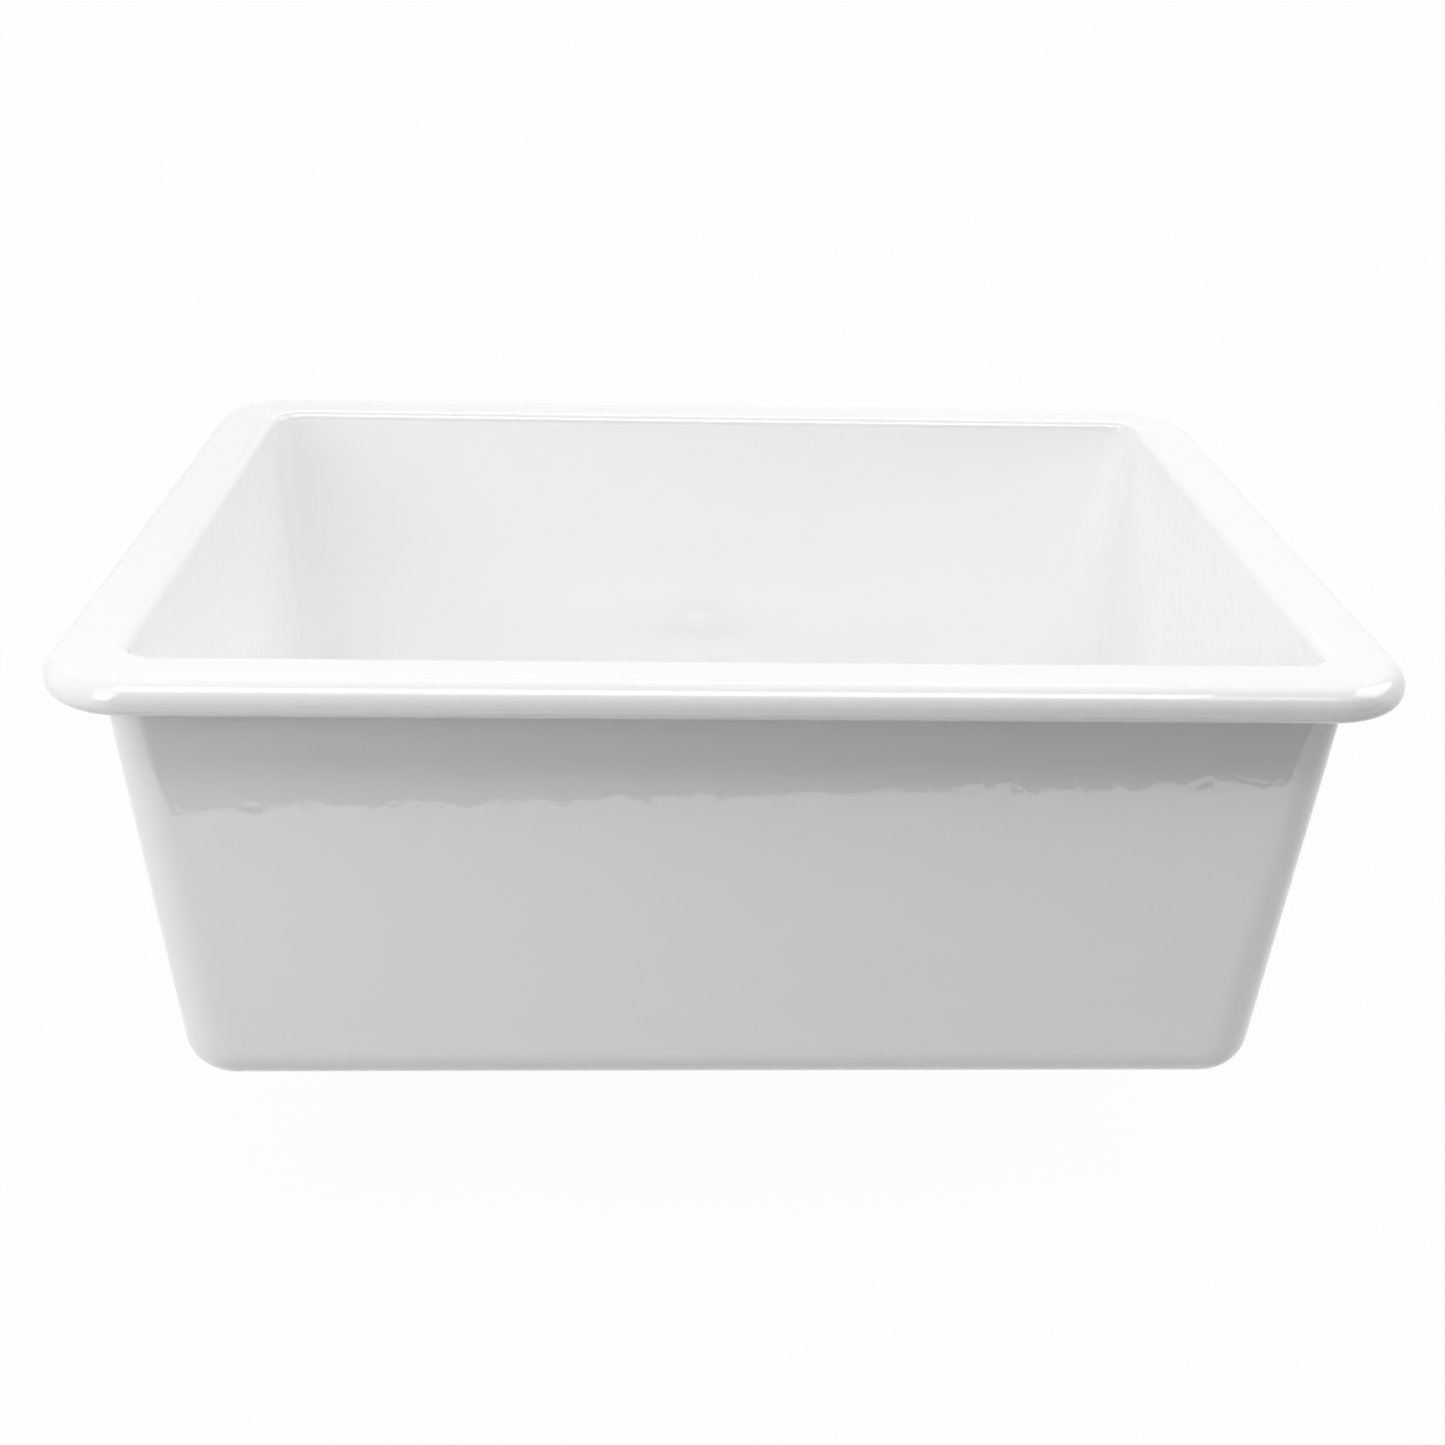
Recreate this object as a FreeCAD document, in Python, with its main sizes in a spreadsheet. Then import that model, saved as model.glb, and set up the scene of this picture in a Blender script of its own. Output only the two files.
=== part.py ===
import FreeCAD, Part
import math
import os
import types
import Sketcher

# Fireclay kitchen sink that hangs by its rolled rim in a worktop, with its basket strainer waste.
# Origin: the middle of the cut-out, level with the rim's underside.
# X runs along the sink, Y to the back and Z up. All lengths are in millimetres.

SIZES = {
    # Basin
    "rim_length": 685.8,
    "rim_depth": 508.0,
    "rim_thickness": 18.0,
    "rim_corner_radius": 48.0,
    "rim_top_round": 10.5,
    "rim_lower_round": 7.0,
    "rim_overhang": 26.2,
    "wall_thickness": 12.8,
    "body_height": 236.0,
    "side_draft": 19.8,
    "front_draft": 3.2,
    "body_corner_radius": 24.0,
    "base_corner_radius": 32.0,
    "base_edge_round": 22.0,
    "floor_wall_thickness": 12.5,
    "bowl_corner_radius": 18.0,
    "bowl_floor_corner_radius": 52.0,
    "bowl_lip_round": 6.0,
    "bowl_floor_round": 26.0,
    "base_thickness": 20.0,
    "floor_fall": 5.0,
    "drain_flat_margin": 6.0,
    "drain_flat_side": 2.0,
    # Strainer body and its seals
    "thread_radius": 42.9,
    "hole_clearance": 2.1,
    "flange_width": 13.1,
    "flange_thickness": 1.6,
    "flange_edge_round": 1.0,
    "flange_step": 0.4,
    "recess_clearance": 2.5,
    "seal_thickness": 2.0,
    "mouth_wall": 1.7,
    "mouth_flare": 3.0,
    "ledge_width": 2.2,
    "ledge_depth": 9.0,
    "cup_depth": 48.0,
    "cup_floor_thickness": 3.0,
    "neck_wall": 4.55,
    "neck_length": 23.0,
    "gasket_width": 10.0,
    "gasket_thickness": 3.0,
    "friction_width": 9.0,
    "friction_thickness": 1.0,
    "ring_clearance": 0.3,
    "thread_clearance": 0.15,
    "lock_nut_wall": 6.6,
    "lock_nut_height": 9.0,
    "lug_length": 4.5,
    "lug_width": 12.0,
    # Outlet
    "tail_radius": 19.05,
    "tail_wall": 1.3,
    "tail_length": 76.0,
    "tail_flange_thickness": 1.5,
    "tail_flange_clearance": 0.9,
    "tail_root_thickness": 0.3,
    "tail_root_length": 1.0,
    "outlet_washer_thickness": 2.5,
    "coupling_wall": 7.0,
    "coupling_lip": 3.0,
    "coupling_grip_height": 13.0,
    "coupling_tube_clearance": 0.5,
    # Basket
    "basket_clearance": 0.4,
    "basket_gap": 3.0,
    "basket_sheet": 1.0,
    "basket_taper": 5.0,
    "floor_hole_radius": 2.2,
    "wall_slot_width": 3.0,
    "bush_radius": 6.5,
    "bush_clearance": 0.1,
    "bush_collar": 1.2,
    "bush_flange_width": 3.0,
    "bush_flange_thickness": 1.5,
    "bush_rise": 7.0,
    "bush_snap_width": 1.5,
    "bush_snap_thickness": 1.2,
    "detent_wire_radius": 0.6,
    "detent_clearance": 0.1,
    # Stopper
    "stopper_travel": 8.0,
    "travel_margin": 0.6,
    "spindle_radius": 4.0,
    "spindle_clearance": 0.08,
    "spindle_thread_radius": 3.0,
    "spindle_collar_width": 3.0,
    "spindle_collar_thickness": 1.5,
    "spindle_tip": 1.5,
    "knob_gap": 1.0,
    "knob_stem_radius": 6.5,
    "knob_stem_height": 11.0,
    "knob_head_radius": 13.0,
    "knob_head_height": 9.0,
    "knob_head_round": 3.5,
    "knob_thread_depth": 10.0,
    "knob_thread_spare": 1.0,
    "seat_width": 6.0,
    "disc_thickness": 4.0,
    "plate_inset": 1.0,
    "plate_thickness": 1.2,
    "stopper_washer_width": 5.5,
    "stopper_washer_thickness": 1.0,
    "stopper_nut_wall": 3.6,
    "stopper_nut_height": 4.5,
    # Every cut runs this far past the face that it opens
    "overrun": 5.0,
}

# Shares of the sizes that they follow
RIM_TOP_SHARE = 0.6
RIM_LOWER_SHARE = 0.39
FLOOR_HOLE_RING_SHARES = (0.55, 0.82)
WALL_SLOT_HEIGHT_SHARE = 0.5
WALL_SLOT_CENTRE_SHARE = 0.5
WALL_SLOT_CORNER_SHARE = 0.9
DETENT_HEIGHT_SHARE = 0.5

# Counts and angles
FLOOR_HOLE_COUNTS = (10, 16)
WALL_SLOT_COUNT = 16
LUG_COUNT = 6
HEXAGON = 6
FULL_TURN = 360.0

# Edges and heights closer than this are the same
MATCH = 0.001


class Length:
    """A length with its number and the expression that ties it to the sheet of sizes."""

    def __init__(self, text, number):
        self.text = text
        self.number = number

    def __add__(self, other):
        return Length(f"({self.text} + {other.text})", self.number + other.number)

    def __sub__(self, other):
        return Length(f"({self.text} - {other.text})", self.number - other.number)

    def __neg__(self):
        return Length(f"(-1 * {self.text})", -self.number)

    def __mul__(self, share):
        return Length(f"({self.text} * {share})", self.number * share)

    def __truediv__(self, share):
        return Length(f"({self.text} / {share})", self.number / share)

    def at_most(self, other):
        return Length(f"min({self.text}; {other.text})", min(self.number, other.number))


doc = FreeCAD.newDocument("fireclay_kitchen_sink")
sheet = doc.addObject("Spreadsheet::Sheet", "sizes")
for row, (word, number) in enumerate(SIZES.items(), start=1):
    sheet.set(f"A{row}", word)
    sheet.set(f"B{row}", str(number))
    sheet.setAlias(f"B{row}", word)
doc.recompute()
size = types.SimpleNamespace(**{word: Length(f"sizes.{word}", float(sheet.get(word))) for word in SIZES})
ZERO = Length("0", 0.0)
sub_parts = []


def new_body(label):
    """An empty sub-part with its node's name."""
    body = doc.addObject("PartDesign::Body", label)
    body.Label = label
    sub_parts.append(body)
    return body


def origin_feature(body, role):
    """One of the body's own origin planes or axes."""
    return next(item for item in body.Origin.OriginFeatures if item.Role == role)


def new_sketch(body, name, role, height=ZERO):
    """An empty sketch on one of the body's origin planes, raised along the plane's normal."""
    sketch = body.newObject("Sketcher::SketchObject", name)
    sketch.AttachmentSupport = [(origin_feature(body, role), "")]
    sketch.MapMode = "FlatFace"
    sketch.AttachmentOffset = FreeCAD.Placement(FreeCAD.Vector(0, 0, height.number), FreeCAD.Rotation())
    sketch.setExpression("AttachmentOffset.Base.z", height.text)
    return sketch


def drive(sketch, kind, place, length):
    """Add a dimension to a sketch and tie it to the sheet."""
    index = sketch.addConstraint(Sketcher.Constraint(kind, *place, length.number))
    sketch.setExpression(f"Constraints[{index}]", length.text)


def place_point(sketch, geometry, end, across, along):
    """Fix one point of a sketch by its two distances from the origin."""
    drive(sketch, "DistanceX", (-1, 1, geometry, end), across)
    drive(sketch, "DistanceY", (-1, 1, geometry, end), along)


def polygon(body, name, corners, role="XZ_Plane"):
    """A closed outline through corners, each given as a distance from the axis and a height."""
    sketch = new_sketch(body, name, role)
    spots = [FreeCAD.Vector(across.number, along.number, 0) for across, along in corners]
    for index, spot in enumerate(spots):
        sketch.addGeometry(Part.LineSegment(spot, spots[(index + 1) % len(spots)]), False)
    for index, (across, along) in enumerate(corners):
        sketch.addConstraint(Sketcher.Constraint("Coincident", (index - 1) % len(spots), 2, index, 1))
        place_point(sketch, index, 1, across, along)
    return sketch


def rounded_plan(body, name, half_across, half_along, corner, height=ZERO, role="XY_Plane", centre=ZERO):
    """A rectangle with rounded corners, four sides and four arcs, centred on the plane's second axis."""
    sketch = new_sketch(body, name, role, height)
    half_x, half_y, radius, middle = (item.number for item in (half_across, half_along, corner, centre))
    quarter_turn = math.pi / 2
    corners = ((1, 1), (-1, 1), (-1, -1), (1, -1))
    for index, (side_x, side_y) in enumerate(corners):
        hub = FreeCAD.Vector(side_x * (half_x - radius), middle + side_y * (half_y - radius), 0)
        circle = Part.Circle(hub, FreeCAD.Vector(0, 0, 1), radius)
        arc = Part.ArcOfCircle(circle, index * quarter_turn, (index + 1) * quarter_turn)
        sketch.addGeometry(arc, False)
    for index in range(len(corners)):
        following = (index + 1) % len(corners)
        start = sketch.Geometry[index].EndPoint
        finish = sketch.Geometry[following].StartPoint
        side = sketch.addGeometry(Part.LineSegment(start, finish), False)
        sketch.addConstraint(Sketcher.Constraint("Tangent", index, 2, side, 1))
        sketch.addConstraint(Sketcher.Constraint("Tangent", side, 2, following, 1))
    for index in range(1, len(corners)):
        sketch.addConstraint(Sketcher.Constraint("Equal", 0, index))
    drive(sketch, "Radius", (0,), corner)
    drive(sketch, "DistanceX", (-1, 1, 0, 1), half_across)
    drive(sketch, "DistanceY", (-1, 1, 0, 2), centre + half_along)
    drive(sketch, "DistanceX", (-1, 1, 2, 1), -half_across)
    drive(sketch, "DistanceY", (-1, 1, 2, 2), centre - half_along)
    sketch.addConstraint(Sketcher.Constraint("Horizontal", len(corners)))
    sketch.addConstraint(Sketcher.Constraint("Vertical", len(corners) + 1))
    return sketch


def round_plan(body, name, radius, height=ZERO, ring=ZERO):
    """A circle at a distance from the axis."""
    sketch = new_sketch(body, name, "XY_Plane", height)
    hub = FreeCAD.Vector(ring.number, 0, 0)
    sketch.addGeometry(Part.Circle(hub, FreeCAD.Vector(0, 0, 1), radius.number), False)
    drive(sketch, "Radius", (0,), radius)
    place_point(sketch, 0, 3, ring, ZERO)
    return sketch


def revolve(body, name, corners, kind="PartDesign::Revolution"):
    """Turn a closed outline round the drain's axis."""
    sketch = polygon(body, f"{name}_outline", corners)
    feature = body.newObject(kind, name)
    feature.Profile = sketch
    feature.ReferenceAxis = (sketch, ["V_Axis"])
    feature.Angle = FULL_TURN
    doc.recompute()
    return feature


def turned(label, corners):
    """A sub-part that is one turned solid."""
    body = new_body(label)
    revolve(body, f"{label}_turning", corners)
    return body


def pad(body, name, sketch, length):
    """Raise a sketch into a solid."""
    feature = body.newObject("PartDesign::Pad", name)
    feature.Profile = sketch
    feature.setExpression("Length", length.text)
    doc.recompute()
    return feature


def pocket(body, name, sketch, length, reversed_cut=False):
    """Cut a sketch into the solid, and make sure that it took something away."""
    before = body.Shape.Volume
    feature = body.newObject("PartDesign::Pocket", name)
    feature.Profile = sketch
    feature.setExpression("Length", length.text)
    feature.Reversed = reversed_cut
    doc.recompute()
    if body.Shape.Volume >= before:
        raise RuntimeError(f"{name} cuts nothing")
    return feature


def loft(body, name, first, last, kind):
    """Straight-sided loft between two plans."""
    feature = body.newObject(kind, name)
    feature.Profile = first
    feature.Sections = [last]
    feature.Ruled = True
    doc.recompute()
    return feature


def around(body, name, feature, count):
    """Repeat a feature evenly round the drain's axis."""
    pattern = body.newObject("PartDesign::PolarPattern", name)
    pattern.Originals = [feature]
    pattern.Axis = (origin_feature(body, "Z_Axis"), [""])
    pattern.Angle = FULL_TURN
    pattern.Occurrences = count
    body.Tip = pattern
    doc.recompute()
    return pattern


def round_edges(body, name, radius, wanted):
    """Round every edge of the body that the test picks."""
    base = body.Tip
    names = [f"Edge{number}" for number, edge in enumerate(base.Shape.Edges, start=1) if wanted(edge)]
    feature = body.newObject("PartDesign::Fillet", name)
    feature.Base = (base, names)
    feature.setExpression("Radius", radius.text)
    doc.recompute()
    return feature


def level(edge, height):
    """True for an edge that lies flat at a height."""
    box = edge.BoundBox
    return abs(box.ZMin - height.number) < MATCH and abs(box.ZMax - height.number) < MATCH


def middle_outside(edge, half_across, half_along):
    """True for an edge whose middle lies outside a rectangle about the origin."""
    first, last = edge.ParameterRange
    spot = edge.valueAt((first + last) / 2)
    return abs(spot.x) > half_across.number or abs(spot.y) > half_along.number


# Heights of the drain's stack, from the bowl's floor down
base_level = -size.body_height
drain_level = base_level + size.base_thickness
floor_level = drain_level + size.floor_fall
flange_top = drain_level - size.flange_step
flange_under = flange_top - size.flange_thickness
recess_level = flange_under - size.seal_thickness
ledge_level = flange_top - size.ledge_depth
cup_floor = flange_top - size.cup_depth
cup_under = cup_floor - size.cup_floor_thickness
neck_end = cup_under - size.neck_length

# Radii of the drain's stack, from the thread of the strainer body
hole_radius = size.thread_radius + size.hole_clearance
flange_radius = size.thread_radius + size.flange_width
recess_radius = flange_radius + size.recess_clearance
mouth_radius = size.thread_radius - size.mouth_wall
cup_radius = mouth_radius - size.ledge_width
outlet_radius = size.tail_radius
neck_radius = size.tail_radius + size.neck_wall

# Fireclay basin: rolled rim, four leaning walls and a floor that falls to the drain, all one fired piece
basin = new_body("fireclay_basin")
half_length = size.rim_length / 2
half_depth = size.rim_depth / 2
wall_across = half_length - size.rim_overhang
wall_along = half_depth - size.rim_overhang
base_across = wall_across - size.side_draft
base_along = wall_along - size.front_draft
bowl_across = wall_across - size.wall_thickness
bowl_along = wall_along - size.wall_thickness
floor_across = base_across - size.floor_wall_thickness
floor_along = base_along - size.floor_wall_thickness
drain_flat = recess_radius + size.drain_flat_margin

rim_plan = rounded_plan(basin, "rim_plan", half_length, half_depth, size.rim_corner_radius)
pad(basin, "rim", rim_plan, size.rim_thickness)
wall_plan = rounded_plan(basin, "wall_plan", wall_across, wall_along, size.body_corner_radius)
base_plan = rounded_plan(basin, "base_plan", base_across, base_along, size.base_corner_radius, base_level)
loft(basin, "walls", wall_plan, base_plan, "PartDesign::AdditiveLoft")
bowl_plan = rounded_plan(basin, "bowl_plan", bowl_across, bowl_along,
                         size.bowl_corner_radius, size.rim_thickness)
floor_plan = rounded_plan(basin, "floor_plan", floor_across, floor_along,
                          size.bowl_floor_corner_radius, floor_level)
loft(basin, "bowl", bowl_plan, floor_plan, "PartDesign::SubtractiveLoft")
fall_plan = rounded_plan(basin, "fall_plan", floor_across, floor_along,
                         size.bowl_floor_corner_radius, floor_level)
drain_plan = rounded_plan(basin, "drain_plan", drain_flat, drain_flat,
                          drain_flat - size.drain_flat_side, drain_level)
loft(basin, "floor_falls", fall_plan, drain_plan, "PartDesign::SubtractiveLoft")
round_edges(basin, "floor_round", size.bowl_floor_round, lambda edge: level(edge, floor_level))
round_edges(basin, "base_round", size.base_edge_round, lambda edge: level(edge, base_level))
rim_top_round = size.rim_top_round.at_most(size.rim_thickness * RIM_TOP_SHARE)
rim_lower_round = size.rim_lower_round.at_most(size.rim_thickness * RIM_LOWER_SHARE)
outer_across = half_length - size.rim_overhang / 2
outer_along = half_depth - size.rim_overhang / 2
round_edges(basin, "rim_top_edge", rim_top_round,
            lambda edge: level(edge, size.rim_thickness) and middle_outside(edge, wall_across, wall_along))
round_edges(basin, "rim_lower_edge", rim_lower_round,
            lambda edge: level(edge, ZERO) and middle_outside(edge, outer_across, outer_along))
round_edges(basin, "bowl_lip", size.bowl_lip_round,
            lambda edge: level(edge, size.rim_thickness)
            and not middle_outside(edge, wall_across, wall_along))
recess_plan = round_plan(basin, "recess_plan", recess_radius, drain_level)
pocket(basin, "flange_recess", recess_plan, drain_level - recess_level)
hole_plan = round_plan(basin, "hole_plan", hole_radius, drain_level)
pocket(basin, "drain_hole", hole_plan, size.base_thickness + size.overrun)

# Strainer body: flanged cup with an outside thread, a ledge for the basket and a threaded outlet neck
strainer = turned("strainer_body", [
    (outlet_radius, neck_end),
    (neck_radius, neck_end),
    (neck_radius, cup_under),
    (size.thread_radius, cup_under),
    (size.thread_radius, flange_under),
    (flange_radius, flange_under),
    (flange_radius, flange_top - size.flange_edge_round),
    (flange_radius - size.flange_edge_round, flange_top),
    (mouth_radius + size.mouth_flare, flange_top),
    (mouth_radius, flange_top - size.mouth_flare),
    (mouth_radius, ledge_level),
    (cup_radius, ledge_level),
    (cup_radius, cup_floor),
    (outlet_radius, cup_floor),
])

# Sealing ring that beds the flange into the recess
turned("flange_seal", [
    (hole_radius, recess_level),
    (flange_radius, recess_level),
    (flange_radius, flange_under),
    (hole_radius, flange_under),
])

# Rubber gasket, fibre washer and lugged ring nut that clamp the strainer from below
gasket_under = base_level - size.gasket_thickness
friction_under = gasket_under - size.friction_thickness
lock_nut_under = friction_under - size.lock_nut_height
ring_bore = size.thread_radius + size.ring_clearance
nut_bore = size.thread_radius + size.thread_clearance
turned("base_gasket", [
    (ring_bore, gasket_under),
    (size.thread_radius + size.gasket_width, gasket_under),
    (size.thread_radius + size.gasket_width, base_level),
    (ring_bore, base_level),
])
turned("friction_washer", [
    (ring_bore, friction_under),
    (size.thread_radius + size.friction_width, friction_under),
    (size.thread_radius + size.friction_width, gasket_under),
    (ring_bore, gasket_under),
])
lock_nut_radius = size.thread_radius + size.lock_nut_wall
lock_nut = turned("lock_nut", [
    (nut_bore, lock_nut_under),
    (lock_nut_radius, lock_nut_under),
    (lock_nut_radius, friction_under),
    (nut_bore, friction_under),
])
lug_root = (nut_bore + lock_nut_radius) / 2
lug_tip = lock_nut_radius + size.lug_length
lug_outline = polygon(lock_nut, "lug_outline", [
    (lug_root, lock_nut_under),
    (lug_tip, lock_nut_under),
    (lug_tip, friction_under),
    (lug_root, friction_under),
])
lug = pad(lock_nut, "lug", lug_outline, size.lug_width)
lug.SideType = "Symmetric"
doc.recompute()
around(lock_nut, "lugs", lug, LUG_COUNT)

# Tailpiece, its washer and the hexagon nut that holds its flange against the outlet neck
washer_under = neck_end - size.outlet_washer_thickness
tail_flange_under = washer_under - size.tail_flange_thickness
tail_flange_radius = neck_radius - size.tail_flange_clearance
tail_end = washer_under - size.tail_length
tail_bore = size.tail_radius - size.tail_wall
coupling_under = tail_flange_under - size.coupling_lip
tail_root = coupling_under - size.tail_root_length
turned("outlet_washer", [
    (outlet_radius, washer_under),
    (tail_flange_radius, washer_under),
    (tail_flange_radius, neck_end),
    (outlet_radius, neck_end),
])
turned("tailpiece", [
    (tail_bore, tail_end),
    (size.tail_radius, tail_end),
    (size.tail_radius, tail_root),
    (size.tail_radius + size.tail_root_thickness, tail_flange_under),
    (tail_flange_radius, tail_flange_under),
    (tail_flange_radius, washer_under),
    (tail_bore, washer_under),
])
coupling_top = neck_end + size.coupling_grip_height
coupling_bore = neck_radius + size.thread_clearance
coupling_eye = size.tail_radius + size.coupling_tube_clearance


def hexagon_nut(label, circumradius, under, top):
    """A hexagon prism between two heights."""
    body = new_body(label)
    prism = body.newObject("PartDesign::AdditivePrism", f"{label}_hexagon")
    prism.Polygon = HEXAGON
    prism.setExpression("Circumradius", circumradius.text)
    prism.setExpression("Height", (top - under).text)
    prism.AttachmentSupport = [(origin_feature(body, "XY_Plane"), "")]
    prism.MapMode = "FlatFace"
    prism.setExpression("AttachmentOffset.Base.z", under.text)
    doc.recompute()
    return body


def bore_out(body, name, corners):
    """Turn a hole out of a body, and make sure that it took something away."""
    before = body.Shape.Volume
    revolve(body, name, corners, "PartDesign::Groove")
    if body.Shape.Volume >= before:
        raise RuntimeError(f"{name} cuts nothing")


coupling = hexagon_nut("coupling_nut", neck_radius + size.coupling_wall, coupling_under, coupling_top)
bore_out(coupling, "coupling_bore", [
    (ZERO, coupling_under - size.overrun),
    (coupling_eye, coupling_under - size.overrun),
    (coupling_eye, tail_flange_under),
    (coupling_bore, tail_flange_under),
    (coupling_bore, coupling_top + size.overrun),
    (ZERO, coupling_top + size.overrun),
])

# Heights of the stopper's stack, from the seat round the outlet up, with the stopper closed
disc_top = cup_floor + size.disc_thickness
plate_top = disc_top + size.plate_thickness
collar_top = plate_top + size.spindle_collar_thickness
stopper_washer_under = cup_floor - size.stopper_washer_thickness
stopper_nut_under = stopper_washer_under - size.stopper_nut_height
spindle_end = stopper_nut_under - size.spindle_tip
bush_under = collar_top + size.stopper_travel + size.travel_margin
basket_under = bush_under + size.bush_snap_thickness
basket_floor = basket_under + size.basket_sheet
bush_flange_top = basket_floor + size.bush_flange_thickness
bush_top = bush_flange_top + size.bush_rise
knob_under = bush_top + size.knob_gap

# Basket: perforated cup that hangs by its lip on the strainer's ledge
lip_radius = mouth_radius - size.basket_clearance
basket_radius = cup_radius - size.basket_gap
basket_floor_radius = basket_radius - size.basket_taper
lip_top = ledge_level + size.basket_sheet
hub_radius = size.bush_radius + size.bush_clearance
basket = turned("basket_cup", [
    (hub_radius, basket_under),
    (basket_floor_radius, basket_under),
    (basket_radius, ledge_level),
    (lip_radius, ledge_level),
    (lip_radius, lip_top),
    (basket_radius - size.basket_sheet, lip_top),
    (basket_floor_radius - size.basket_sheet, basket_floor),
    (hub_radius, basket_floor),
])
for ring, (ring_share, count) in enumerate(zip(FLOOR_HOLE_RING_SHARES, FLOOR_HOLE_COUNTS), start=1):
    hole_sketch = round_plan(basket, f"floor_hole_plan_{ring}", size.floor_hole_radius,
                             basket_floor, basket_floor_radius * ring_share)
    floor_hole = pocket(basket, f"floor_hole_{ring}", hole_sketch, size.basket_sheet + size.overrun)
    around(basket, f"floor_holes_{ring}", floor_hole, count)
basket_height = ledge_level - basket_floor
slot_half_width = size.wall_slot_width / 2
slot_plan = rounded_plan(basket, "wall_slot_plan", slot_half_width,
                         basket_height * WALL_SLOT_HEIGHT_SHARE / 2, slot_half_width * WALL_SLOT_CORNER_SHARE,
                         role="XZ_Plane", centre=basket_floor + basket_height * WALL_SLOT_CENTRE_SHARE)
wall_slot = pocket(basket, "wall_slot", slot_plan, basket_radius + size.overrun)
around(basket, "wall_slots", wall_slot, WALL_SLOT_COUNT)

# Guide bush clipped into the basket's floor, with the groove for the spring ring
spindle_bore = size.spindle_radius + size.spindle_clearance
detent_centre = spindle_bore + size.detent_wire_radius
detent_groove = detent_centre + size.detent_wire_radius + size.detent_clearance
detent_level = bush_flange_top + size.bush_rise * DETENT_HEIGHT_SHARE
detent_low = detent_level - size.detent_wire_radius
detent_high = detent_level + size.detent_wire_radius + size.detent_clearance
bush_snap_radius = size.bush_radius + size.bush_snap_width
bush_flange_radius = size.bush_radius + size.bush_flange_width
bush_collar_radius = size.bush_radius + size.bush_collar
turned("basket_bush", [
    (spindle_bore, bush_under),
    (bush_snap_radius, bush_under),
    (bush_snap_radius, basket_under),
    (size.bush_radius, basket_under),
    (size.bush_radius, basket_floor),
    (bush_flange_radius, basket_floor),
    (bush_flange_radius, bush_flange_top),
    (bush_collar_radius, bush_flange_top),
    (bush_collar_radius, bush_top),
    (spindle_bore, bush_top),
    (spindle_bore, detent_high),
    (detent_groove, detent_high),
    (detent_groove, detent_low),
    (spindle_bore, detent_low),
])
detent = doc.addObject("Part::Torus", "detent_ring")
detent.Label = "detent_ring"
detent.setExpression("Radius1", detent_centre.text)
detent.setExpression("Radius2", size.detent_wire_radius.text)
detent.setExpression("Placement.Base.z", detent_level.text)
sub_parts.append(detent)

# Spindle: rod with a collar that bears on the backing plate, threaded at both ends
spindle_top = knob_under + size.knob_thread_depth - size.knob_thread_spare
collar_radius = size.spindle_radius + size.spindle_collar_width
turned("stopper_spindle", [
    (ZERO, spindle_end),
    (size.spindle_thread_radius, spindle_end),
    (size.spindle_thread_radius, plate_top),
    (collar_radius, plate_top),
    (collar_radius, collar_top),
    (size.spindle_radius, collar_top),
    (size.spindle_radius, knob_under),
    (size.spindle_thread_radius, knob_under),
    (size.spindle_thread_radius, spindle_top),
    (ZERO, spindle_top),
])

# Knob screwed on the spindle: round stem under a wider head with a rounded edge
thread_bore = size.spindle_thread_radius + size.thread_clearance
head_under = knob_under + size.knob_stem_height
knob_top = head_under + size.knob_head_height
knob = turned("lift_knob", [
    (thread_bore, knob_under),
    (size.knob_stem_radius, knob_under),
    (size.knob_stem_radius, head_under),
    (size.knob_head_radius, head_under),
    (size.knob_head_radius, knob_top),
    (ZERO, knob_top),
    (ZERO, knob_under + size.knob_thread_depth),
    (thread_bore, knob_under + size.knob_thread_depth),
])
round_edges(knob, "head_round", size.knob_head_round,
            lambda edge: (level(edge, knob_top) or level(edge, head_under))
            and abs(edge.Curve.Radius - size.knob_head_radius.number) < MATCH)

# Stopper: rubber disc between a backing plate and a washer, clamped by a nut on the spindle's lower thread
disc_radius = outlet_radius + size.seat_width
turned("stopper_plate", [
    (thread_bore, disc_top),
    (disc_radius - size.plate_inset, disc_top),
    (disc_radius - size.plate_inset, plate_top),
    (thread_bore, plate_top),
])
turned("stopper_disc", [
    (thread_bore, cup_floor),
    (disc_radius, cup_floor),
    (disc_radius, disc_top),
    (thread_bore, disc_top),
])
turned("stopper_washer", [
    (thread_bore, stopper_washer_under),
    (thread_bore + size.stopper_washer_width, stopper_washer_under),
    (thread_bore + size.stopper_washer_width, cup_floor),
    (thread_bore, cup_floor),
])
stopper_nut = hexagon_nut("stopper_nut", thread_bore + size.stopper_nut_wall, stopper_nut_under,
                          stopper_washer_under)
bore_out(stopper_nut, "stopper_nut_bore", [
    (ZERO, stopper_nut_under - size.overrun),
    (thread_bore, stopper_nut_under - size.overrun),
    (thread_bore, stopper_washer_under + size.overrun),
    (ZERO, stopper_washer_under + size.overrun),
])

doc.recompute()
failed = [item.Label for item in doc.Objects if "Invalid" in item.State or "Error" in item.State]
failed += [item.Label for item in sub_parts if item.Shape.isNull() or not item.Shape.isValid()]
if failed:
    raise RuntimeError(f"not built: {failed}")
os.makedirs("parts", exist_ok=True)
for item in sub_parts:
    item.Shape.exportStep(f"parts/{item.Label}.step")
    print(item.Label, len(item.Shape.Solids), round(item.Shape.Volume), item.Shape.BoundBox)
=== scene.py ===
import bmesh
import bpy
import numpy as np
from mathutils import Matrix


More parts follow.
